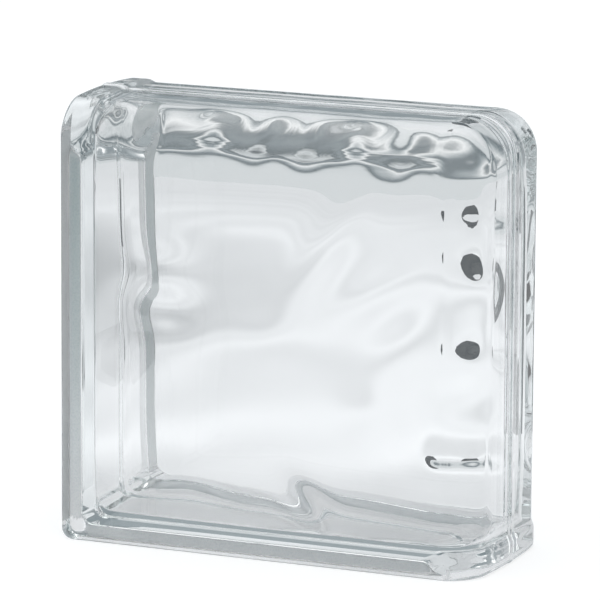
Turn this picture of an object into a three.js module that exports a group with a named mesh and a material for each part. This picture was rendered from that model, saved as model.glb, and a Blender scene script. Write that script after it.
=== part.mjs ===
// A hollow pressed-glass building block, closed on two neighbouring sides, in millimetres.
// It is two pressed trays, fused mouth to mouth on the mid-plane y = 0. The block stands on its
// bottom mortar side: the front face looks along -Y, the mortar sides are the left and the bottom,
// and the finished sides are the right and the top.

import * as THREE from "three";

// The whole block.
const width = 190; // left rims to right crest
const height = 190; // bottom rims to top crest
const depth = 80; // face to face

// Glass thicknesses.
const facePlate = 8.5; // thickness of each face in its middle
const faceSwell = 3.1; // how much thicker each face grows at the walls
const faceSwellReach = 34; // how far from the walls it starts to grow
const mortarWall = 7; // wall behind the mortar channel
const finishedWall = 8; // wall behind the finished sides
const wallDraft = 0.6; // how much each wall thins from the face to the mouth

// Finished sides: a rounded nose at each face and a slight crown up to the seam.
const noseRadius = 14.7;
const crownRise = 2.4;
const finishedCorner = 17.4; // radius of the corner between the two finished sides

// Mortar sides: a rim along each face and a channel sunk between the rims.
const rimWidth = 13; // measured from the face
const rimEdgeRadius = 0.8;
const channelDepth = 5;
const channelShoulder = 4; // run of the slope from the rim down to the channel's floor
const channelEnd = 20; // how far short of the finished sides the channel stops
const channelRamp = 7; // run of its last slope
const mortarCorner = 5; // radius of the corner between the two mortar sides

// Lips: the ends of the finished sides, which close the channel and stand slightly proud.
const lipLength = 9;
const lipRise = 1.2;
const lipRamp = 4;
const lipCorner = 2.8;

// The fused seam, a low bead round the outside and a lower, wider one round the mouth.
const beadWidth = 3;
const beadRise = 0.5;
const innerBeadWidth = 6;
const innerBeadRise = 0.2;

// The cavity, with a tight fillet between face and wall along the mortar sides and a wide one
// along the finished sides.
const cavityCorner = 7.5;
const finishedCavityCorner = 17;
const mortarFillet = 2;
const finishedFillet = 15;

// Soft ridges and hollows pressed into the inner side of each face. Each one is longest at `turn`
// degrees from +X towards +Z, and fades out over `along` and `across`.
const frontSwells = [
  { x: -50, z: 117, rise: 1.8, along: 15, across: 12, turn: 0 },
  { x: -50, z: 103, rise: -1.8, along: 15, across: 10, turn: 0 },
  { x: -35, z: 35, rise: 1, along: 15, across: 15, turn: 0 },
  { x: -10, z: 15, rise: 1, along: 20, across: 12, turn: 0 },
  { x: 15, z: 25, rise: -2, along: 15, across: 8, turn: -45 },
  { x: 40, z: 40, rise: 1, along: 30, across: 15, turn: 0 },
];
const rearSwells = [
  { x: -5, z: 120, rise: 2, along: 35, across: 10, turn: 60 },
  { x: 25, z: 105, rise: 1.2, along: 35, across: 10, turn: 25 },
  { x: 35, z: 80, rise: 1.5, along: 20, across: 12, turn: 45 },
  { x: -35, z: 78, rise: 1.2, along: 40, across: 12, turn: 0 },
  { x: 15, z: 50, rise: 1, along: 12, across: 10, turn: 0 },
];

// Fineness of the facets.
const sideSteps = 13;
const rampSteps = 3;
const cornerSteps = 5;
const noseSteps = 7;
const filletSteps = 5;
const shoulderSteps = 4;
const faceRings = 12;
const closestRings = 0.1; // rings nearer than this are dropped

const halfDepth = depth / 2;
const degrees = Math.PI / 180;

// An S-shaped rise from 0 to 1.
function smooth(share) {
  const held = Math.min(Math.max(share, 0), 1);
  return held * held * (3 - 2 * held);
}

// Height of a set of swells at one place on the face.
function swellHeight(swells, x, z) {
  let total = 0;
  for (const swell of swells) {
    const cos = Math.cos(swell.turn * degrees);
    const sin = Math.sin(swell.turn * degrees);
    const along = ((x - swell.x) * cos + (z - swell.z) * sin) / swell.along;
    const across = ((z - swell.z) * cos - (x - swell.x) * sin) / swell.across;
    total += swell.rise * Math.exp(-along * along - across * across);
  }
  return total;
}

// How far a quarter-round edge has drawn back at a distance from the face.
function edgeInset(radius, fromFace) {
  if (fromFace >= radius) return 0;
  return radius - Math.sqrt(radius * radius - (radius - fromFace) ** 2);
}

// Height of the outer seam bead at a distance from the mid-plane.
function beadHeight(fromSeam) {
  const reach = Math.min(fromSeam / (beadWidth / 2), 1);
  return beadRise * Math.sqrt(1 - reach * reach);
}

// Height of the seam bead inside the mouth.
function innerBeadHeight(fromSeam) {
  return innerBeadRise * smooth(1 - fromSeam / (innerBeadWidth / 2));
}

// Depth of the mortar channel at a distance from the mid-plane.
function channelInset(fromSeam) {
  return channelDepth * smooth((halfDepth - rimWidth - fromSeam) / channelShoulder);
}

// Points along a quarter-round corner of a section, from a start angle, counterclockwise.
function cornerArc({ x, z, radius }, startAngle) {
  const middle = (startAngle + 45) * degrees;
  const centreX = x - radius * Math.sign(Math.cos(middle));
  const centreZ = z - radius * Math.sign(Math.sin(middle));
  const points = [];
  for (let step = 0; step <= cornerSteps; step += 1) {
    const angle = (startAngle + (90 * step) / cornerSteps) * degrees;
    points.push([centreX + radius * Math.cos(angle), centreZ + radius * Math.sin(angle)]);
  }
  return points;
}

// Points along one side of a section, from its lip corner to its plain corner, which lie outside
// the points. The side follows the lip's line over `run`, then eases to the plain line over `ramp`.
function sidePoints(lip, plain, along, across, run, ramp) {
  const way = Math.sign(plain[along] - lip[along]);
  const last = Math.abs(plain[along] - lip[along]) - plain.radius;
  const distances = [];
  for (let step = 0; step <= rampSteps; step += 1) distances.push(run + (ramp * step) / rampSteps);
  for (let step = 1; step < sideSteps; step += 1) {
    distances.push(run + ramp + ((last - run - ramp) * step) / sideSteps);
  }
  return distances.map((distance) => {
    const share = smooth((distance - run) / ramp);
    const point = { [along]: lip[along] + way * distance };
    point[across] = lip[across] + (plain[across] - lip[across]) * share;
    return [point.x, point.z];
  });
}

// One closed section across the block, counterclockwise seen from the front. The bottom right and
// top left corners are the lips.
function sectionOutline(bottomLeft, bottomRight, topRight, topLeft) {
  return [
    ...cornerArc(bottomLeft, 180),
    ...sidePoints(bottomRight, bottomLeft, "x", "z", channelEnd, channelRamp).reverse(),
    ...cornerArc(bottomRight, 270),
    ...sidePoints(bottomRight, topRight, "z", "x", lipLength, lipRamp),
    ...cornerArc(topRight, 0),
    ...sidePoints(topLeft, topRight, "x", "z", lipLength, lipRamp).reverse(),
    ...cornerArc(topLeft, 90),
    ...sidePoints(topLeft, bottomLeft, "z", "x", channelEnd, channelRamp),
  ];
}

// For each point of a section, 1 along the finished sides and 0 along the mortar ones, easing from
// one to the other round the two corners between them.
function finishedShares() {
  const side = (share) => new Array(rampSteps + sideSteps).fill(share);
  const corner = (share) => Array.from({ length: cornerSteps + 1 }, (_, step) => share(step / cornerSteps));
  return [
    ...corner(() => 0),
    ...side(0),
    ...corner(smooth),
    ...side(1),
    ...corner(() => 1),
    ...side(1),
    ...corner((turned) => 1 - smooth(turned)),
    ...side(0),
  ];
}

// The outside of the block at a distance from the mid-plane.
function outerSection(fromSeam) {
  const rim = edgeInset(rimEdgeRadius, halfDepth - fromSeam);
  const nose = edgeInset(noseRadius, halfDepth - fromSeam);
  const bead = beadHeight(fromSeam);
  const channel = channelInset(fromSeam);
  const sunk = rim + channel - (channel > 0 ? bead : 0);
  const lip = nose + crownRise * (fromSeam / halfDepth) ** 2 + beadRise - bead;
  const finished = lip + lipRise;
  const [left, right] = [-width / 2, width / 2];
  return sectionOutline(
    { x: left + sunk, z: sunk, radius: mortarCorner },
    { x: right - lip, z: rim, radius: lipCorner },
    { x: right - finished, z: height - finished, radius: finishedCorner - nose },
    { x: left + rim, z: height - lip, radius: lipCorner },
  );
}

// The cavity at a distance from the mid-plane, drawn in further by the insets of the two fillets.
function cavitySection(fromSeam, mortarInset, finishedInset) {
  const draft = wallDraft * (fromSeam / (halfDepth - facePlate) - 1);
  const inset = draft + innerBeadHeight(fromSeam);
  const mortar = channelDepth + mortarWall + inset + mortarInset;
  const finished = lipRise + beadRise + finishedWall + inset + finishedInset;
  const radius = cavityCorner - mortarInset;
  const [left, right, top] = [-width / 2 + mortar, width / 2 - finished, height - finished];
  return sectionOutline(
    { x: left, z: mortar, radius },
    { x: right, z: mortar, radius },
    { x: right, z: top, radius: finishedCavityCorner - finishedInset },
    { x: left, z: top, radius },
  );
}

// A ring of 3-D points from a section. `distanceAt` gives each point's distance from the mid-plane.
function ring(outline, distanceAt) {
  return outline.map(([x, z], index) => [x, distanceAt(x, z, index), z]);
}

// The rings of the outside, from the face to the mouth.
function outerRings() {
  const distances = [];
  for (let step = 0; step <= noseSteps; step += 1) {
    const drawn = 1 - Math.cos((90 * step * degrees) / noseSteps);
    distances.push(halfDepth - noseRadius * drawn, halfDepth - rimEdgeRadius * drawn);
  }
  for (let step = 0; step <= shoulderSteps; step += 1) {
    distances.push(halfDepth - rimWidth - (channelShoulder * step) / shoulderSteps);
  }
  const channelMiddle = (halfDepth - rimWidth) / 2;
  distances.push(channelMiddle, beadWidth / 2, beadWidth / 4, 0);
  distances.sort((a, b) => b - a);
  const distinct = distances.filter((d, index) => index === 0 || distances[index - 1] - d > closestRings);
  return distinct.map((d) => ring(outerSection(d), () => d));
}

// The distance of the inner side of a face from the mid-plane. `rim` is the section the face fills.
function faceDistance(swells, rim, x, z) {
  const across = rim.map((point) => point[0]);
  const up = rim.map((point) => point[1]);
  const fromWalls = [
    x - Math.min(...across),
    Math.max(...across) - x,
    z - Math.min(...up),
    Math.max(...up) - z,
  ];
  let glass = facePlate;
  for (const fromWall of fromWalls) {
    glass += faceSwell * Math.max(1 - Math.max(fromWall, 0) / faceSwellReach, 0) ** 2;
  }
  return halfDepth - glass + swellHeight(swells, x, z);
}

// The rings of the cavity, from the mouth to the middle of the face.
function cavityRings(swells) {
  const wallEnd = halfDepth - facePlate;
  const filletEnd = Math.PI / 2 - Math.atan((2 * faceSwell) / faceSwellReach);
  const fillets = finishedShares().map((share) => mortarFillet + (finishedFillet - mortarFillet) * share);
  const filletSection = (turn) => {
    const drawn = 1 - Math.cos(turn);
    return cavitySection(wallEnd, mortarFillet * drawn, finishedFillet * drawn);
  };
  const rim = filletSection(filletEnd);
  const rimDistance = (index) => faceDistance(swells, rim, ...rim[index]);
  const wallTops = fillets.map((fillet, index) => rimDistance(index) - fillet * Math.sin(filletEnd));

  const rings = [];
  for (const d of [0, innerBeadWidth / 8, innerBeadWidth / 4, innerBeadWidth / 2]) {
    rings.push(ring(cavitySection(d, 0, 0), () => d));
  }
  const bead = innerBeadWidth / 2;
  const halfWay = cavitySection((bead + wallEnd) / 2, 0, 0);
  rings.push(ring(halfWay, (x, z, index) => (bead + wallTops[index]) / 2));
  for (let step = 0; step <= filletSteps; step += 1) {
    const turn = (filletEnd * step) / filletSteps;
    const rise = Math.sin(turn);
    rings.push(ring(filletSection(turn), (x, z, index) => wallTops[index] + fillets[index] * rise));
  }
  const middle = [0, 1].map((axis) => rim.reduce((sum, point) => sum + point[axis], 0) / rim.length);
  for (let step = 1; step < faceRings; step += 1) {
    const share = 1 - step / faceRings;
    const inward = (value, axis) => middle[axis] + (value - middle[axis]) * share;
    const outline = rim.map((point) => point.map(inward));
    rings.push(ring(outline, (x, z) => faceDistance(swells, rim, x, z)));
  }
  const centre = [middle[0], faceDistance(swells, rim, ...middle), middle[1]];
  return { rings, centre };
}

// A closed mesh from rings that run from one end point to another. `side` is -1 in front of the
// mid-plane and 1 behind it.
function closedLoft(startPoint, rings, endPoint, side) {
  const count = rings[0].length;
  const points = [startPoint, ...rings.flat(), endPoint];
  const positions = points.flatMap(([x, d, z]) => [x, side * d, z]);
  const indices = [];
  const face = (a, b, c) => indices.push(...(side < 0 ? [a, b, c] : [a, c, b]));
  const at = (ringIndex, pointIndex) => 1 + ringIndex * count + (pointIndex % count);
  for (let point = 0; point < count; point += 1) {
    face(0, at(0, point), at(0, point + 1));
    for (let index = 1; index < rings.length; index += 1) {
      face(at(index - 1, point), at(index, point), at(index, point + 1));
      face(at(index - 1, point), at(index, point + 1), at(index - 1, point + 1));
    }
    face(points.length - 1, at(rings.length - 1, point + 1), at(rings.length - 1, point));
  }
  const geometry = new THREE.BufferGeometry();
  geometry.setAttribute("position", new THREE.Float32BufferAttribute(positions, 3));
  geometry.setIndex(indices);
  geometry.computeVertexNormals();
  return geometry;
}

// One pressed tray, from the middle of its face round the rim and into the cavity.
function pressedHalf(name, swells, side) {
  const cavity = cavityRings(swells);
  const faceCentre = [0, halfDepth, height / 2];
  const geometry = closedLoft(faceCentre, [...outerRings(), ...cavity.rings], cavity.centre, side);
  const glass = new THREE.MeshStandardMaterial({
    color: 0xdfe8e8,
    roughness: 0.04,
    metalness: 0,
    transparent: true,
    opacity: 0.35,
  });
  const mesh = new THREE.Mesh(geometry, glass);
  mesh.name = name;
  return mesh;
}

const block = new THREE.Group();
block.add(pressedHalf("front_half", frontSwells, -1), pressedHalf("rear_half", rearSwells, 1));

export default block;
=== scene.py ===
# A hollow glass building block, pressed in two trays and fused at the seam, standing on its bottom
# mortar side: the front face looks along -Y and the finished sides are the right and the top.
import math

import bpy
import numpy as np
from mathutils import Matrix, Vector


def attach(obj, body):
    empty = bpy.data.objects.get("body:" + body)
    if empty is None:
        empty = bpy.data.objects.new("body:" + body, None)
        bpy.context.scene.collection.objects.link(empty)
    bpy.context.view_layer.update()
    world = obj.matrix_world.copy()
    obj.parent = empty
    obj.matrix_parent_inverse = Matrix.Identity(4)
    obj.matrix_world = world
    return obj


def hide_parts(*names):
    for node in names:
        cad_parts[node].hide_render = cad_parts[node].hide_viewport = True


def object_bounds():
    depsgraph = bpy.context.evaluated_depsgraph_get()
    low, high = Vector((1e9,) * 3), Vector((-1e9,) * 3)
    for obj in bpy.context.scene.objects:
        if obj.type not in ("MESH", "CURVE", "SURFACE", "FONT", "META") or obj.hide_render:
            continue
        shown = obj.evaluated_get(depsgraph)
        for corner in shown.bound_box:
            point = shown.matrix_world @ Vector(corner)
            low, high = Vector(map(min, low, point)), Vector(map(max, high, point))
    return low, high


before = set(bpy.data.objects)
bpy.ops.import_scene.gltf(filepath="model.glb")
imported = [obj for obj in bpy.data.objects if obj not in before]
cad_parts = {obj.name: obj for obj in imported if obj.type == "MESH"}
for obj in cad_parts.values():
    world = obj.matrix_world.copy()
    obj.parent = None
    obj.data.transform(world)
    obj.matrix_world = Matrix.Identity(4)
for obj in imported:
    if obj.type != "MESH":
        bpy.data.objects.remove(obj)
cadLow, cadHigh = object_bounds()
mm = 0.001
width, depth, height = [(high - low) / mm for low, high in zip(cadLow, cadHigh)]
halfDepth = depth / 2
print("frame", [round(size, 1) for size in (width, depth, height)], "mm")

# ---- form of the block, in millimetres
# The names are those of the part's own sizes. "Inset" below is always a distance inwards.
block = {
    "facePlate": 8.5,
    "mortarWall": 7.0,
    "finishedWall": 8.0,
    "wallDraft": 0.6,
    "noseRadius": 14.7,
    "crownRise": 2.4,
    "finishedCorner": 17.4,
    "rimWidth": 13.0,
    "rimEdgeRadius": 0.8,
    "channelDepth": 5.0,
    "channelShoulder": 4.0,
    "channelEnd": 20.0,
    "channelRamp": 7.0,
    "mortarCorner": 5.0,
    "lipLength": 9.0,
    "lipRise": 1.2,
    "lipRamp": 4.0,
    "lipCorner": 2.8,
    "beadWidth": 3.0,
    "beadRise": 0.5,
    "innerBeadWidth": 6.0,
    "innerBeadRise": 0.2,
    "cavityCorner": 7.5,
    "finishedCavityCorner": 17.0,
    "mortarFillet": 0.8,  # tighter than in the solids, for a thin line where face and wall meet
    "finishedFillet": 15.0,
    "faceSwell": 3.1,
    "faceSwellReach": 34.0,
    "coatCorner": 7.0,  # bare glass left at the corner of the two mortar sides
    "coatShoulder": 3.2,  # how far the mortar coat runs past the rim, into the channel
}

# Soft ridges and hollows pressed in the inner faces: place, rise, reach along and across, turn in degrees.
frontSwells = [
    {"x": -50, "z": 117, "rise": 1.8, "along": 15, "across": 12, "turn": 0},
    {"x": -50, "z": 103, "rise": -1.8, "along": 15, "across": 10, "turn": 0},
    {"x": -35, "z": 35, "rise": 1, "along": 15, "across": 15, "turn": 0},
    {"x": -10, "z": 15, "rise": 1, "along": 20, "across": 12, "turn": 0},
    {"x": 15, "z": 25, "rise": -2, "along": 15, "across": 8, "turn": -45},
    {"x": 40, "z": 40, "rise": 1, "along": 30, "across": 15, "turn": 0},
]
rearSwells = [
    {"x": -5, "z": 120, "rise": 2, "along": 35, "across": 10, "turn": 60},
    {"x": 25, "z": 105, "rise": 1.2, "along": 35, "across": 10, "turn": 25},
    {"x": 35, "z": 80, "rise": 1.5, "along": 20, "across": 12, "turn": 45},
    {"x": -35, "z": 78, "rise": 1.2, "along": 40, "across": 12, "turn": 0},
    {"x": 15, "z": 50, "rise": 1, "along": 12, "across": 10, "turn": 0},
]
# Dimples along the rounded inner edges of the finished sides, each out of the cavity where its rise is
# above 0: first along the top, from front to rear, then down the right edge and on the right wall.
edgeDimples = [
    {"x": -62, "y": -25, "z": 174, "rise": 1.2, "reach": 7},
    {"x": -30, "y": -22, "z": 176, "rise": -0.8, "reach": 7},
    {"x": -10, "y": -25, "z": 174, "rise": 1, "reach": 7},
    {"x": 12, "y": -25, "z": 174, "rise": 1.1, "reach": 7},
    {"x": 34, "y": -21, "z": 176, "rise": -0.5, "reach": 6},
    {"x": 54, "y": -25, "z": 172, "rise": 1.1, "reach": 7},
    {"x": -66, "y": -2, "z": 181, "rise": 1.6, "reach": 13},
    {"x": -46, "y": -3, "z": 181, "rise": 1.3, "reach": 11},
    {"x": -26, "y": 0, "z": 181, "rise": 1.9, "reach": 14},
    {"x": -2, "y": -3, "z": 181, "rise": 1.4, "reach": 12},
    {"x": 18, "y": -1, "z": 181, "rise": 1.7, "reach": 13},
    {"x": 40, "y": -3, "z": 181, "rise": 1.9, "reach": 13},
    {"x": 62, "y": -1, "z": 181, "rise": 1.6, "reach": 12},
    {"x": -60, "y": 18, "z": 180, "rise": -0.5, "reach": 9},
    {"x": -38, "y": 18, "z": 180, "rise": 0.5, "reach": 9},
    {"x": -18, "y": 18, "z": 180, "rise": -0.5, "reach": 8},
    {"x": 4, "y": 18, "z": 180, "rise": 0.5, "reach": 9},
    {"x": 26, "y": 18, "z": 180, "rise": -0.6, "reach": 8},
    {"x": 50, "y": 18, "z": 180, "rise": 0.5, "reach": 9},
    {"x": -58, "y": 25, "z": 168, "rise": 0.5, "reach": 10},
    {"x": -30, "y": 25, "z": 174, "rise": -0.5, "reach": 8},
    {"x": -8, "y": 25, "z": 170, "rise": 0.4, "reach": 10},
    {"x": 14, "y": 25, "z": 173, "rise": -0.8, "reach": 7},
    {"x": 26, "y": 24, "z": 166, "rise": 1, "reach": 7},
    {"x": 56, "y": 25, "z": 170, "rise": 0.6, "reach": 9},
    {"x": 70, "y": 29, "z": 165, "rise": 3.8, "reach": 6.8},
    {"x": 69.5, "y": 29, "z": 154, "rise": 3.8, "reach": 6.8},
    {"x": 69.5, "y": 29, "z": 143, "rise": 3.9, "reach": 7},
    {"x": 61.5, "y": 31, "z": 149, "rise": -0.45, "reach": 5},
    {"x": 61.5, "y": 31, "z": 140, "rise": -0.45, "reach": 5},
    {"x": 67, "y": 29, "z": 121, "rise": 3, "reach": 5.5},
    {"x": 67, "y": 29, "z": 83, "rise": 2.5, "reach": 5.3},
    {"x": 57, "y": 29, "z": 38, "rise": 4, "reach": 5.5},
    {"x": 67, "y": 29, "z": 38, "rise": 4.6, "reach": 5},
    {"x": 80, "y": -22, "z": 120, "rise": -1.5, "reach": 11},
    {"x": 80, "y": -22, "z": 75, "rise": 1.5, "reach": 11},
]

# How many steps each stretch of the surface takes, and how near two outer rings may come.
fineness = {
    "side": 50,
    "sideEnd": 15,
    "corner": 12,
    "nose": 14,
    "fillet": 14,
    "face": 52,
    "wall": 12,
    "shoulder": 9,
    "plain": 7,
    "innerBead": 7,
    "closest": 0.03,
}
shoulderMargin = 0.1  # the shoulder's rings start and end this share of its run outside it
rampMargin = 1.5  # the close steps at a side's end go on past its lip by this many ramps
faceShares = [0.3, 0.7, 0.9, 0.97]  # the rings of the flat outer faces, from the middle to the rim
smallestRadius = 1  # of the cavity's corners
leastLength = 1e-9  # keeps a normal's length off 0 where it divides


def smooth(share):
    # an S-shaped rise from 0 to 1
    share = np.clip(share, 0, 1)
    return share * share * (3 - 2 * share)


def swellHeight(swells, x, z):
    total = np.zeros_like(x)
    for swell in swells:
        turn = math.radians(swell["turn"])
        along = (x - swell["x"]) * math.cos(turn) + (z - swell["z"]) * math.sin(turn)
        across = (z - swell["z"]) * math.cos(turn) - (x - swell["x"]) * math.sin(turn)
        fading = (along / swell["along"]) ** 2 + (across / swell["across"]) ** 2
        total += swell["rise"] * np.exp(-fading)
    return total


def dimpleHeight(points):
    total = np.zeros(points.shape[:-1])
    for dimple in edgeDimples:
        away = points - np.array([dimple["x"], dimple["y"], dimple["z"]])
        total += dimple["rise"] * np.exp(-np.sum(away**2, axis=-1) / dimple["reach"] ** 2)
    return total


def edgeInset(radius, fromFace):
    # how far a quarter-round edge has drawn back at a distance from the face
    return radius - math.sqrt(max(radius**2 - max(radius - fromFace, 0) ** 2, 0))


def beadHeight(fromSeam):
    reach = min(abs(fromSeam) / (block["beadWidth"] / 2), 1)
    return block["beadRise"] * math.sqrt(1 - reach * reach)


def innerBeadHeight(fromSeam):
    return block["innerBeadRise"] * float(smooth(1 - abs(fromSeam) / (block["innerBeadWidth"] / 2)))


def channelInset(fromSeam):
    rimStart = halfDepth - block["rimWidth"]
    return block["channelDepth"] * float(smooth((rimStart - abs(fromSeam)) / block["channelShoulder"]))


def sideStations(start, end, endRun):
    # even steps along the middle of a side, closer ones at its ends, where the lips are
    way = math.copysign(1, end - start)
    first = np.linspace(start, start + way * endRun, fineness["sideEnd"], endpoint=False)
    middle = np.linspace(start + way * endRun, end - way * endRun, fineness["side"], endpoint=False)
    last = np.linspace(end - way * endRun, end, fineness["sideEnd"], endpoint=False)
    return np.concatenate([first, middle, last])


def sectionOutline(corners):
    # Counterclockwise seen from the front. The corners are bottom left, bottom right, top right and
    # top left, each as (x, z, radius); each side eases from its plain line to the line of the lip corner.
    inward = [(1, 1), (-1, 1), (-1, -1), (1, -1)]
    turn = np.linspace(0, math.pi / 2, fineness["corner"], endpoint=False)
    parts = []
    for index, (x, z, radius) in enumerate(corners):
        angle = turn + math.pi + index * math.pi / 2
        inX, inZ = inward[index]
        arcX = x + inX * radius + radius * np.cos(angle)
        arcZ = z + inZ * radius + radius * np.sin(angle)
        parts.append(np.column_stack([arcX, arcZ]))
        nextX, nextZ, nextRadius = corners[(index + 1) % 4]
        lipAtEnd = index in (0, 2)
        mortarSide = index in (0, 3)
        along = 0 if lipAtEnd else 1  # bottom and top run along X, right and left along Z
        here, there = ((x, z), (nextX, nextZ))
        way = math.copysign(1, there[along] - here[along])
        plainRun = block["channelEnd"] if mortarSide else block["lipLength"]
        ramp = block["channelRamp"] if mortarSide else block["lipRamp"]
        start, end = here[along] + way * radius, there[along] - way * nextRadius
        stations = sideStations(start, end, plainRun + rampMargin * ramp)
        fromLip = np.abs(stations - (there[along] if lipAtEnd else here[along])) - plainRun
        onLip = 1 - smooth(fromLip / ramp)
        lipLine, plainLine = (there, here) if lipAtEnd else (here, there)
        across = plainLine[1 - along] + (lipLine[1 - along] - plainLine[1 - along]) * onLip
        parts.append(np.column_stack([stations, across] if lipAtEnd else [across, stations]))
    return np.vstack(parts)


def outerSection(fromSeam):
    fromFace = halfDepth - abs(fromSeam)
    rimInset = edgeInset(block["rimEdgeRadius"], fromFace)
    nose = edgeInset(block["noseRadius"], fromFace)
    bead = beadHeight(fromSeam)
    channel = channelInset(fromSeam)
    lipInset = nose + block["crownRise"] * (fromSeam / halfDepth) ** 2 + block["beadRise"] - bead
    finishedInset = lipInset + block["lipRise"]
    sunk = rimInset + channel - (bead if channel else 0)
    left, right, top = -width / 2, width / 2, height
    return sectionOutline(
        [
            (left + sunk, sunk, block["mortarCorner"]),
            (right - lipInset, rimInset, block["lipCorner"]),
            (right - finishedInset, top - finishedInset, block["finishedCorner"] - nose),
            (left + rimInset, top - lipInset, block["lipCorner"]),
        ]
    )


def cavitySection(fromSeam, mortarInset, finishedInset):
    draft = block["wallDraft"] * (abs(fromSeam) / (halfDepth - block["facePlate"]) - 1)
    inset = draft + innerBeadHeight(fromSeam)
    mortar = block["channelDepth"] + block["mortarWall"] + inset + mortarInset
    finished = block["lipRise"] + block["beadRise"] + block["finishedWall"] + inset + finishedInset
    mortarRadius = max(block["cavityCorner"] - mortarInset, smallestRadius)
    finishedRadius = max(block["finishedCavityCorner"] - finishedInset, smallestRadius)
    left, right, top = -width / 2 + mortar, width / 2 - finished, height - finished
    return sectionOutline(
        [
            (left, mortar, mortarRadius),
            (right, mortar, mortarRadius),
            (right, top, finishedRadius),
            (left, top, mortarRadius),
        ]
    )


def finishedShare():
    # 1 along the finished sides, 0 along the mortar ones, easing round the two corners between
    corner = smooth(np.linspace(0, 1, fineness["corner"], endpoint=False))
    sideCount = fineness["side"] + 2 * fineness["sideEnd"]
    plain, full = np.zeros(sideCount), np.ones(sideCount)
    mortarTurn, finishedTurn = np.zeros(fineness["corner"]), np.ones(fineness["corner"])
    return np.concatenate([mortarTurn, plain, corner, full, finishedTurn, full, 1 - corner, plain])


def withDepth(outline, y):
    return np.column_stack([outline[:, 0], np.broadcast_to(y, len(outline)), outline[:, 1]])


def outerDistances():
    # distances from the seam, from the face to the seam
    turn = np.linspace(0, math.pi / 2, fineness["nose"] + 1)
    nose = halfDepth - block["noseRadius"] * (1 - np.cos(turn))
    edge = halfDepth - block["rimEdgeRadius"] * (1 - np.cos(turn[::2]))
    rimStart = halfDepth - block["rimWidth"]
    shares = np.linspace(-shoulderMargin, 1 + shoulderMargin, fineness["shoulder"])
    shoulder = rimStart - shares * block["channelShoulder"]
    plain = np.linspace(shoulder[-1], block["beadWidth"] / 2, fineness["plain"])
    bead = block["beadWidth"] / 2 * np.cos(turn[::2])[::-1]
    every = np.unique(np.round(np.concatenate([nose, edge, shoulder, plain, bead]), 3))[::-1]
    kept = [every[0]]
    for distance in every[1:]:
        if kept[-1] - distance > fineness["closest"]:
            kept.append(distance)
    kept[-1] = 0.0
    return kept


def outerRings():
    half = [(distance, outerSection(distance)) for distance in outerDistances()]
    rim = half[0][1]
    middle = np.array([0, height / 2])
    front = [withDepth(middle + (rim - middle) * share, -halfDepth) for share in faceShares]
    front += [withDepth(outline, -distance) for distance, outline in half]
    rear = [withDepth(outline, distance) for distance, outline in half[-2::-1]]
    rear += [withDepth(middle + (rim - middle) * share, halfDepth) for share in faceShares[::-1]]
    ends = [np.array([0, -halfDepth, height / 2]), np.array([0, halfDepth, height / 2])]
    return front + rear, ends


def faceHeight(swells, outline, rim):
    # how far the inner face lies from the seam, thicker in glass towards the walls
    x, z = outline[:, 0], outline[:, 1]
    low, high = rim.min(axis=0), rim.max(axis=0)
    glass = np.zeros_like(x)
    for fromWall in (x - low[0], high[0] - x, z - low[1], high[1] - z):
        glass += block["faceSwell"] * np.clip(1 - fromWall / block["faceSwellReach"], 0, 1) ** 2
    return halfDepth - block["facePlate"] - glass + swellHeight(swells, x, z)


def cavityHalf(swells, side):
    # from the mouth to the middle of the face
    rings = []
    mortarFillet, finishedFillet = block["mortarFillet"], block["finishedFillet"]
    fillet = mortarFillet + (finishedFillet - mortarFillet) * finishedShare()
    # the fillet ends at the slope that the face starts with
    filletEnd = math.pi / 2 - math.atan(2 * block["faceSwell"] / block["faceSwellReach"])
    wallEnd = halfDepth - block["facePlate"]
    turned = 1 - math.cos(filletEnd)
    rim = cavitySection(wallEnd, mortarFillet * turned, finishedFillet * turned)
    wallTop = faceHeight(swells, rim, rim) - fillet * math.sin(filletEnd)
    bead = block["innerBeadWidth"] / 2 * np.linspace(0, 1, fineness["innerBead"])
    for distance in bead:
        rings.append(withDepth(cavitySection(distance, 0, 0), side * distance))
    for share in np.linspace(0, 1, fineness["wall"])[1:-1]:
        y = bead[-1] + (wallTop - bead[-1]) * share
        even = bead[-1] + (wallEnd - bead[-1]) * share
        rings.append(withDepth(cavitySection(even, 0, 0), side * y))
    for share in np.linspace(0, 1, fineness["fillet"] + 1):
        angle = share * filletEnd
        turned = 1 - math.cos(angle)
        outline = cavitySection(wallEnd, mortarFillet * turned, finishedFillet * turned)
        rings.append(withDepth(outline, side * (wallTop + fillet * math.sin(angle))))
    middle = rim.mean(axis=0)
    for share in np.linspace(1, 0, fineness["face"] + 1)[1:-1]:
        outline = middle + (rim - middle) * share
        rings.append(withDepth(outline, side * faceHeight(swells, outline, rim)))
    end = np.array([middle[0], 0, middle[1]])
    end[1] = side * faceHeight(swells, middle[None, :], rim)[0]
    return rings, end


def pushOut(rings, amount):
    # moves each point of the ringed surface along its own normal, out of the cavity
    grid = np.array(rings)
    around = np.roll(grid, -1, axis=1) - np.roll(grid, 1, axis=1)
    normal = np.cross(around, np.gradient(grid, axis=0))
    normal /= np.maximum(np.linalg.norm(normal, axis=2, keepdims=True), leastLength)
    return list(grid + normal * amount(grid)[..., None])


def cavityRings():
    front, frontEnd = cavityHalf(frontSwells, -1)
    rear, rearEnd = cavityHalf(rearSwells, 1)
    return pushOut(front[::-1] + rear[1:], dimpleHeight), [frontEnd, rearEnd]


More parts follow.
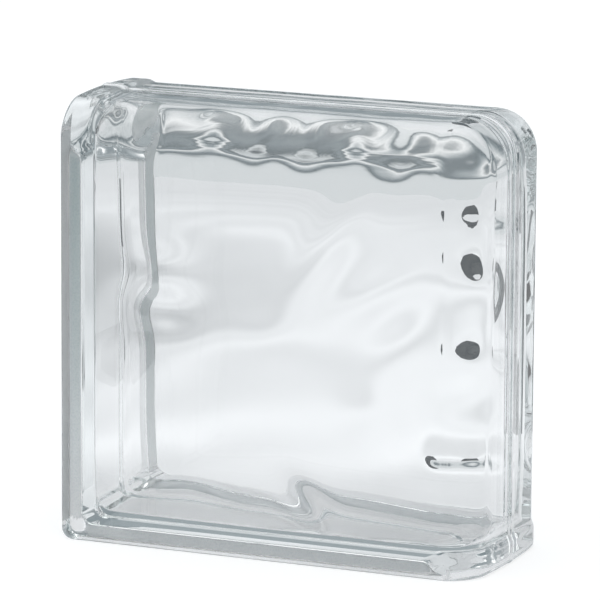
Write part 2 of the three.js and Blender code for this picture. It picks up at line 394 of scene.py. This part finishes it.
def loftFaces(ringCount, pointCount, first, outward):
    # quads between neighbouring rings and a fan at each end
    def at(ring, point):
        return first + 1 + ring * pointCount + point % pointCount

    last = first + 1 + ringCount * pointCount
    faces = []
    for point in range(pointCount):
        faces.append((first, at(0, point), at(0, point + 1)))
        for ring in range(ringCount - 1):
            near, far = point, point + 1
            faces.append((at(ring, near), at(ring + 1, near), at(ring + 1, far), at(ring, far)))
        faces.append((last, at(ringCount - 1, point + 1), at(ringCount - 1, point)))
    return faces if outward else [face[::-1] for face in faces]


def isCoated(x, y, z):
    # the rims of the two mortar sides, with the start of the channel's shoulder
    rimEnd = halfDepth - block["rimWidth"] - block["coatShoulder"]
    onRim = rimEnd < abs(y) < halfDepth - block["rimEdgeRadius"] / 2
    sunk = block["channelDepth"]
    plain = block["lipLength"] + block["lipRamp"]
    left, right = -width / 2, width / 2
    onLeft = x < left + sunk and block["coatCorner"] < z < height - plain
    onBottom = z < sunk and left + block["coatCorner"] < x < right - plain
    return onRim and (onLeft or onBottom)


def makeBlock():
    points, faces = [], []
    for (rings, ends), outward in ((outerRings(), True), (cavityRings(), False)):
        first = len(points)
        points += [ends[0], *np.vstack(rings), ends[1]]
        faces += loftFaces(len(rings), len(rings[0]), first, outward)
    mesh = bpy.data.meshes.new("glass_block")
    mesh.from_pydata([tuple(p * mm) for p in points], [], faces)
    mesh.validate()
    mesh.polygons.foreach_set("use_smooth", [True] * len(mesh.polygons))
    for polygon in mesh.polygons:
        polygon.material_index = int(isCoated(*(polygon.center / mm)))
    piece = bpy.data.objects.new("glass_block", mesh)
    bpy.context.scene.collection.objects.link(piece)
    return piece


glassBlock = makeBlock()
mesh = glassBlock.data
print("block", sum(len(p.vertices) - 2 for p in mesh.polygons), "triangles")


# ---- materials
def linear(hexColour, alpha=1.0):
    values = [int(hexColour[i : i + 2], 16) / 255 for i in (1, 3, 5)]
    return (*[v / 12.92 if v <= 0.04045 else ((v + 0.055) / 1.055) ** 2.4 for v in values], alpha)


def addNode(tree, kind, settings=None, links=None):
    node = tree.nodes.new(kind)
    for name, value in (settings or {}).items():
        if isinstance(name, int) or name in node.inputs:
            node.inputs[name].default_value = value
        else:
            setattr(node, name, value)
    for socket, source in (links or {}).items():
        tree.links.new(source, node.inputs[socket])
    return node


def newMaterial(name):
    material = bpy.data.materials.new(name)
    material.use_nodes = True
    material.node_tree.nodes.clear()
    return material, material.node_tree


glassFinish = {"ior": 1.52, "tint": "#E3ECEC", "tintDensity": 4.0}  # the density is per metre


def sodaLimeGlass():
    # clear pressed soda-lime glass: bright with a faint cool green in its thick edges
    material, tree = newMaterial("soda_lime_glass")
    shader = addNode(
        tree,
        "ShaderNodeBsdfPrincipled",
        {"Base Color": (1, 1, 1, 1), "Roughness": 0.0, "IOR": glassFinish["ior"], "Transmission Weight": 1.0},
    )
    tint = addNode(
        tree,
        "ShaderNodeVolumeAbsorption",
        {"Color": linear(glassFinish["tint"]), "Density": glassFinish["tintDensity"]},
    )
    addNode(
        tree,
        "ShaderNodeOutputMaterial",
        links={"Surface": shader.outputs["BSDF"], "Volume": tint.outputs["Volume"]},
    )
    return material


coatFinish = {
    "speck": "#EAEDEF",
    "paint": "#F8FAFA",
    "pale": "#FEFEFE",
    "places": (0.38, 0.5, 0.66),  # of speck, paint and pale in the grit's noise
    "gritSize": 0.7,  # in mm, coarser than real grit, which would be too fine to show
    "gritDetail": 2.0,
    "roughness": 0.45,
    "passing": 0.9,  # the share of light that goes through
}


def mortarCoat():
    # sprayed grit coat that mortar grips: matte pale grey, with fine specks
    material, tree = newMaterial("mortar_coat")
    place = addNode(tree, "ShaderNodeTexCoord").outputs["Object"]
    grit = addNode(
        tree,
        "ShaderNodeTexNoise",
        {"Scale": 1 / (coatFinish["gritSize"] * mm), "Detail": coatFinish["gritDetail"]},
        {"Vector": place},
    )
    colours = addNode(tree, "ShaderNodeValToRGB", links={"Fac": grit.outputs["Fac"]})
    elements = colours.color_ramp.elements
    elements.new(coatFinish["places"][1])
    for element, position, name in zip(elements, coatFinish["places"], ("speck", "paint", "pale")):
        element.position = position
        element.color = linear(coatFinish[name])
    shader = addNode(
        tree,
        "ShaderNodeBsdfPrincipled",
        {
            "Roughness": coatFinish["roughness"],
            "Transmission Weight": coatFinish["passing"],
            "IOR": glassFinish["ior"],
        },
        {"Base Color": colours.outputs["Color"]},
    )
    addNode(tree, "ShaderNodeOutputMaterial", links={"Surface": shader.outputs["BSDF"]})
    return material


glassBlock.data.materials.append(sodaLimeGlass())
glassBlock.data.materials.append(mortarCoat())
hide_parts("front_half", "rear_half")
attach(glassBlock, "root")
print("materials", [material.name for material in glassBlock.data.materials])

# ---- camera
camera = {
    "azimuth": 23.41,  # in degrees, as the next two
    "elevation": 11.33,
    "roll": 0.357,
    "distance": 2.1618,  # from the middle of the block, in metres
    "focal": 5143.4,  # in pixels, as the side of the square frame
    "frameSide": 600,
    "sensor": 36.0,  # in millimetres
    "clipEnd": 50,  # in metres
    "right": 5.80,  # how far the block's middle lies right of and below the frame's, in pixels
    "down": 20.83,
}


def makeCamera():
    data = bpy.data.cameras.new("camera")
    data.sensor_width = camera["sensor"]
    data.lens = camera["focal"] / camera["frameSide"] * camera["sensor"]
    data.clip_end = camera["clipEnd"]
    azimuth, elevation, roll = [math.radians(camera[key]) for key in ("azimuth", "elevation", "roll")]
    flat, rise = math.cos(elevation), math.sin(elevation)
    back = Vector((math.sin(azimuth) * flat, -math.cos(azimuth) * flat, rise))
    level = Vector((math.cos(azimuth), math.sin(azimuth), 0))
    upright = back.cross(level)
    right = level * math.cos(roll) + upright * math.sin(roll)
    up = upright * math.cos(roll) - level * math.sin(roll)
    pixel = camera["distance"] / camera["focal"]
    target = Vector((0, 0, height / 2 * mm)) - right * camera["right"] * pixel + up * camera["down"] * pixel
    piece = bpy.data.objects.new("camera", data)
    piece.matrix_world = Matrix.LocRotScale(
        target + back * camera["distance"], Matrix((right, up, back)).transposed(), None
    )
    bpy.context.scene.collection.objects.link(piece)
    bpy.context.scene.camera = piece
    print("camera", round(data.lens), "mm lens")


makeCamera()


# ---- floor and light
studio = {
    "floorRadius": 3.0,
    "floorSides": 96,
    "floorPaint": "#9A9D9F",
    "floorFill": 0.75,  # light that the camera sees the floor give of itself
    "floorTintInGlass": "#F8F9FB",
    # Seen in the glass only: a soft shade round one place on the floor, and how the floor fades far
    # from the block. Each is two distances in metres and the tones at them.
    "floorShadeCentre": (-0.47, 0.43),
    "floorShade": (0.05, 0.3, 0.13, 0.59),
    "floorFading": (0.35, 1.6, 1.0, 0.72),
    # long soft streaks on it: their turn in degrees, their width and length in metres, and how strong
    # they are, again as two distances and the strengths at them
    "streakTurn": 21.0,
    "streakSize": (0.08, 0.4),
    "streakFading": (0.45, 1.1, 0.85, 0.15),
    # tones by elevation in degrees, behind the block and in front of it, and the part of a direction's
    # Y over which the one turns into the other
    "behind": [
        (-90, 0.8), (-2, 0.68), (0.5, 0.68), (1.6, 0.62), (2.1, 0.16), (2.8, 0.18),
        (3.4, 0.34), (5, 0.85), (6, 0.16), (7.5, 0.26), (9, 0.13), (10, 0.68),
        (11.2, 0.08), (13, 0.4), (18, 0.3), (34, 0.3), (48, 0.5), (60, 1.6),
    ],
    "front": [(-90, 0.5), (-20, 0.8), (0, 0.85), (48, 0.9), (60, 1.6)],
    "turnOver": (0.3, -0.3),
    # two dark cards that lie on the floor, behind the block and to its left, in metres; only the glass sees
    # them, and they paint dark reflections into it
    "paintedReflectionTone": 0.03,
    "cardLift": 0.001,
    "paintedReflectionCards": [
        [(0.04, 0.24), (0.1, 0.24), (0.16, 1.45), (-0.26, 1.45), (-0.03, 0.5)],
        [(-0.36, 0.2), (-0.36, 0.09), (-1.6, 0.3), (-1.6, 0.85)],
    ],
}


def lightPathShare(tree, kinds):
    # 1 for the named kinds of ray, 0 for the rest
    path = addNode(tree, "ShaderNodeLightPath")
    share = path.outputs[kinds[0]]
    for kind in kinds[1:]:
        more = addNode(tree, "ShaderNodeMath", {"operation": "MAXIMUM"}, {0: share, 1: path.outputs[kind]})
        share = more.outputs[0]
    return share


def toneBetween(tree, value, shade):
    # a tone that runs evenly from one to another as a value runs from one place to another
    start, end, startTone, endTone = shade
    settings = {"From Min": start, "From Max": end, "To Min": startTone, "To Max": endTone}
    return addNode(tree, "ShaderNodeMapRange", settings, {"Value": value}).outputs["Result"]


def makeFloor():
    # pale floor that takes the block's soft shadow and fades into the white round it
    mesh = bpy.data.meshes.new("floor")
    turn = np.linspace(0, 2 * math.pi, studio["floorSides"], endpoint=False)
    radius = studio["floorRadius"]
    rim = [(radius * math.cos(t), radius * math.sin(t), 0) for t in turn]
    mesh.from_pydata(rim, [], [tuple(range(len(rim)))])
    piece = bpy.data.objects.new("floor", mesh)
    bpy.context.scene.collection.objects.link(piece)
    material, tree = newMaterial("floor")
    paint = addNode(tree, "ShaderNodeBsdfDiffuse", {"Color": linear(studio["floorPaint"])})
    # in the glass the floor is dimmer round one place and far away
    place = addNode(tree, "ShaderNodeTexCoord").outputs["Object"]
    shadeCentre = (*studio["floorShadeCentre"], 0)
    fromShade = addNode(tree, "ShaderNodeVectorMath", {"operation": "DISTANCE", 1: shadeCentre}, {0: place})
    away = addNode(tree, "ShaderNodeVectorMath", {"operation": "LENGTH"}, {0: place})
    near = toneBetween(tree, fromShade.outputs["Value"], studio["floorShade"])
    far = toneBetween(tree, away.outputs["Value"], studio["floorFading"])
    lit = addNode(tree, "ShaderNodeMath", {"operation": "MULTIPLY"}, {0: near, 1: far})
    # with long soft streaks of light, which the glass bends
    turned = addNode(
        tree,
        "ShaderNodeVectorRotate",
        {"rotation_type": "Z_AXIS", "Angle": math.radians(studio["streakTurn"])},
        {"Vector": place},
    )
    streakWidth, streakLength = studio["streakSize"]
    drawnOut = addNode(
        tree,
        "ShaderNodeVectorMath",
        {"operation": "MULTIPLY", 1: (1 / streakWidth, 1 / streakLength, 0)},
        {0: turned.outputs[0]},
    )
    noise = {"Scale": 1.0, "Detail": 0.0}
    streak = addNode(tree, "ShaderNodeTexNoise", noise, {"Vector": drawnOut.outputs[0]})
    reach = toneBetween(tree, away.outputs["Value"], studio["streakFading"])
    # the noise swings about 0.5, and the tone about 1
    swing = addNode(tree, "ShaderNodeMath", {"operation": "SUBTRACT", 1: 0.5}, {0: streak.outputs["Fac"]})
    faded = addNode(tree, "ShaderNodeMath", {"operation": "MULTIPLY"}, {0: swing.outputs[0], 1: reach})
    dappled = addNode(tree, "ShaderNodeMath", {"operation": "ADD", 1: 1.0}, {0: faded.outputs[0]})
    shades = {0: lit.outputs[0], 1: dappled.outputs[0]}
    dimmed = addNode(tree, "ShaderNodeMath", {"operation": "MULTIPLY"}, shades)
    seen = lightPathShare(tree, ["Is Camera Ray"])
    inGlass = lightPathShare(tree, ["Is Glossy Ray", "Is Transmission Ray"])
    glassFill = addNode(tree, "ShaderNodeMath", {"operation": "MULTIPLY"}, {0: inGlass, 1: dimmed.outputs[0]})
    strength = addNode(
        tree,
        "ShaderNodeMath",
        {"operation": "MULTIPLY_ADD", 1: studio["floorFill"]},
        {0: seen, 2: glassFill.outputs[0]},
    )
    tint = addNode(
        tree,
        "ShaderNodeMix",
        {"data_type": "RGBA", 6: (1, 1, 1, 1), 7: linear(studio["floorTintInGlass"])},
        {0: inGlass},
    )
    glow = {"Color": tint.outputs[2], "Strength": strength.outputs[0]}
    fill = addNode(tree, "ShaderNodeEmission", links=glow)
    both = addNode(tree, "ShaderNodeAddShader", links={0: paint.outputs[0], 1: fill.outputs[0]})
    addNode(tree, "ShaderNodeOutputMaterial", links={"Surface": both.outputs[0]})
    mesh.materials.append(material)


makeFloor()


def coolGrey(tone):
    # a grey that turns cooler as it darkens, and neutral where it is brighter than white
    redPower, greenPower = 1.2, 1.06
    over = max(tone - 1, 0)
    return (tone ** max(1, redPower - over), tone ** max(1, greenPower - over), tone, 1)


def toneByHeight(tree, up, stops):
    # a grey for each elevation, by the height of a ray's direction
    share = addNode(tree, "ShaderNodeMath", {"operation": "MULTIPLY_ADD", 1: 0.5, 2: 0.5}, {0: up})
    ramp = addNode(tree, "ShaderNodeValToRGB", links={"Fac": share.outputs[0]})
    elements = ramp.color_ramp.elements
    while len(elements) < len(stops):
        elements.new(0.5)
    for element, (elevation, tone) in zip(elements, stops):
        element.position = 0.5 + 0.5 * math.sin(math.radians(elevation))
        element.color = coolGrey(tone)
    return ramp.outputs["Color"]


def makeWorld():
    # plain white to the camera; the glass sees a room in bands of grey
    world = bpy.data.worlds.new("studio")
    bpy.context.scene.world = world
    world.use_nodes = True
    tree = world.node_tree
    tree.nodes.clear()
    way = addNode(tree, "ShaderNodeTexCoord").outputs["Generated"]
    parts = addNode(tree, "ShaderNodeSeparateXYZ", links={"Vector": way})
    start, end = studio["turnOver"]
    inFront = addNode(
        tree,
        "ShaderNodeMapRange",
        {"From Min": start, "From Max": end, "interpolation_type": "SMOOTHSTEP"},
        {"Value": parts.outputs["Y"]},
    )

    def blend(share, first, second):
        node = addNode(tree, "ShaderNodeMix", {"data_type": "RGBA"}, {0: share})
        for socket, colour in ((6, first), (7, second)):
            if isinstance(colour, tuple):
                node.inputs[socket].default_value = colour
            else:
                tree.links.new(colour, node.inputs[socket])
        return node.outputs[2]

    room = blend(
        inFront.outputs[0],
        toneByHeight(tree, parts.outputs["Z"], studio["behind"]),
        toneByHeight(tree, parts.outputs["Z"], studio["front"]),
    )
    seen = blend(lightPathShare(tree, ["Is Camera Ray"]), room, (1, 1, 1, 1))
    light = addNode(tree, "ShaderNodeBackground", {"Strength": 1.0}, {"Color": seen})
    addNode(tree, "ShaderNodeOutputWorld", links={"Surface": light.outputs["Background"]})


def makePaintedReflectionCards():
    # dark cards that only the glass sees: painted dark reflections, for the dark drops at its rounded edge
    mesh = bpy.data.meshes.new("painted_reflection_cards")
    corners, faces = [], []
    for card in studio["paintedReflectionCards"]:
        faces.append(range(len(corners), len(corners) + len(card)))
        corners += [(x, y, studio["cardLift"]) for x, y in card]
    mesh.from_pydata(corners, [], faces)
    piece = bpy.data.objects.new("painted_reflection_cards", mesh)
    bpy.context.scene.collection.objects.link(piece)
    piece.visible_camera = False
    piece.visible_diffuse = False
    piece.visible_shadow = False
    material, tree = newMaterial("painted_reflection_cards")
    # a faint dark glow that paints the dark reflections
    glow = addNode(tree, "ShaderNodeEmission", {"Color": coolGrey(studio["paintedReflectionTone"])})
    addNode(tree, "ShaderNodeOutputMaterial", links={"Surface": glow.outputs[0]})
    mesh.materials.append(material)


makeWorld()
makePaintedReflectionCards()
print("studio ready")
bpy.context.scene.view_settings.view_transform = "Standard"
bounces = {"max_bounces": 32, "transmission_bounces": 32, "glossy_bounces": 16}
for name, count in bounces.items():
    setattr(bpy.context.scene.cycles, name, count)
